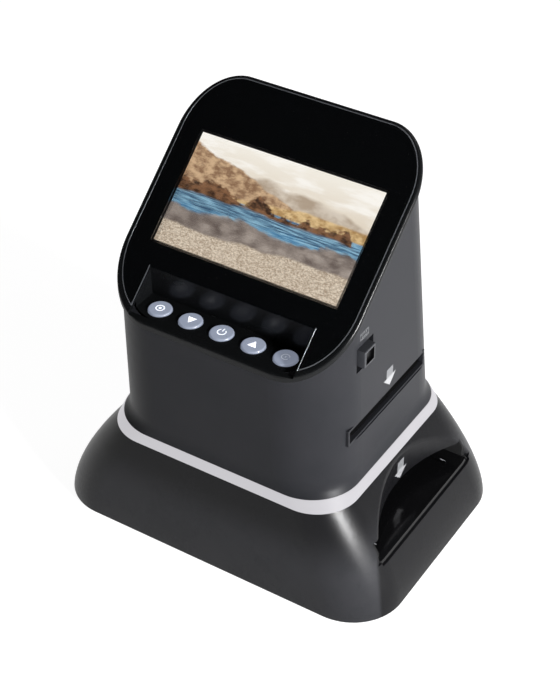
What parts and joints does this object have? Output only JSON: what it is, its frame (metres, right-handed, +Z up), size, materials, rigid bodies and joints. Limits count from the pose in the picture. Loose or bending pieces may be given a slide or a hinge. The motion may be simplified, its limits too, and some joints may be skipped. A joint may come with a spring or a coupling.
{
  "type": "film negative scanner",
  "caption": "Desktop film scanner: a flared base and upright tower with slots for film holders, a light ring between them, and a sloping black panel with a screen and round keys.",
  "frame": {"origin": "middle of the footprint, on the surface that the rubber feet stand on", "axes": "+Z up, front with the keys towards -Y, wall with the format button towards +X"},
  "size_m": [0.1834, 0.1306, 0.2034],
  "materials": {
    "housing_grey": "satin moulded ABS",
    "ring_white": "satin milky",
    "panel_black": "high gloss",
    "mouth_black": "gloss",
    "inner_black": "matt",
    "foot_rubber": "matt",
    "screw_steel": "plated",
    "sheet_steel": "stamped",
    "pan_white": "white paint",
    "diffuser_white": "opal sheet",
    "clear_acrylic": "polished acrylic",
    "board_green": "solder mask",
    "lens_glass": "coated",
    "screen_glass": "polished",
    "display": "lit colour display",
    "switch_black": "moulded",
    "key_silver": "silver lacquer"
  },
  "bodies": {
    "housing": {"backlight_diffuser": "diffuser_white", "backlight_pan": "pan_white", "base_plate": "inner_black", "base_screws": "screw_steel", "base_skirt": "housing_grey", "bezel": "panel_black", "camera_hood": "inner_black", "card_socket": "sheet_steel", "face_sheet": "panel_black", "film_track_lower": "inner_black", "film_track_upper": "inner_black", "format_latch": "switch_black", "format_surround": "inner_black", "front_lens": "lens_glass", "hdmi_socket": "sheet_steel", "key_board": "board_green", "key_switches": "switch_black", "latch_board": "board_green", "lcd_panel": "display", "lcd_plate": "sheet_steel", "led_strip": "board_green", "lens_barrel": "inner_black", "light_guide": "clear_acrylic", "light_ring": "ring_white", "light_tunnel": "inner_black", "main_board": "board_green", "rubber_feet": "foot_rubber", "screen_window": "screen_glass", "sensor_board": "board_green", "slot_mouth_left": "mouth_black", "slot_mouth_right": "mouth_black", "tower_screws": "screw_steel", "tower_shell": "housing_grey", "usb_socket": "sheet_steel"},
    "key_1": {"key_1": "key_silver"},
    "key_2": {"key_2": "key_silver"},
    "key_3": {"key_3": "key_silver"},
    "key_4": {"key_4": "key_silver"},
    "key_5": {"key_5": "key_silver"},
    "format_button": {"format_button": "housing_grey"}
  },
  "joints": [
    {"name": "key_1_press", "type": "slide", "parent": "housing", "child": "key_1", "axis": [0, 0, -1], "range_m": [0, 0.0006], "stiffness_N_per_m": 900},
    {"name": "key_2_press", "type": "slide", "parent": "housing", "child": "key_2", "axis": [0, 0, -1], "range_m": [0, 0.0006], "stiffness_N_per_m": 900},
    {"name": "key_3_press", "type": "slide", "parent": "housing", "child": "key_3", "axis": [0, 0, -1], "range_m": [0, 0.0006], "stiffness_N_per_m": 900},
    {"name": "key_4_press", "type": "slide", "parent": "housing", "child": "key_4", "axis": [0, 0, -1], "range_m": [0, 0.0006], "stiffness_N_per_m": 900},
    {"name": "key_5_press", "type": "slide", "parent": "housing", "child": "key_5", "axis": [0, 0, -1], "range_m": [0, 0.0006], "stiffness_N_per_m": 900},
    {"name": "format_button_press", "type": "slide", "parent": "housing", "child": "format_button", "axis": [-1, 0, 0], "range_m": [0, 0.002], "stiffness_N_per_m": 700}
  ]
}
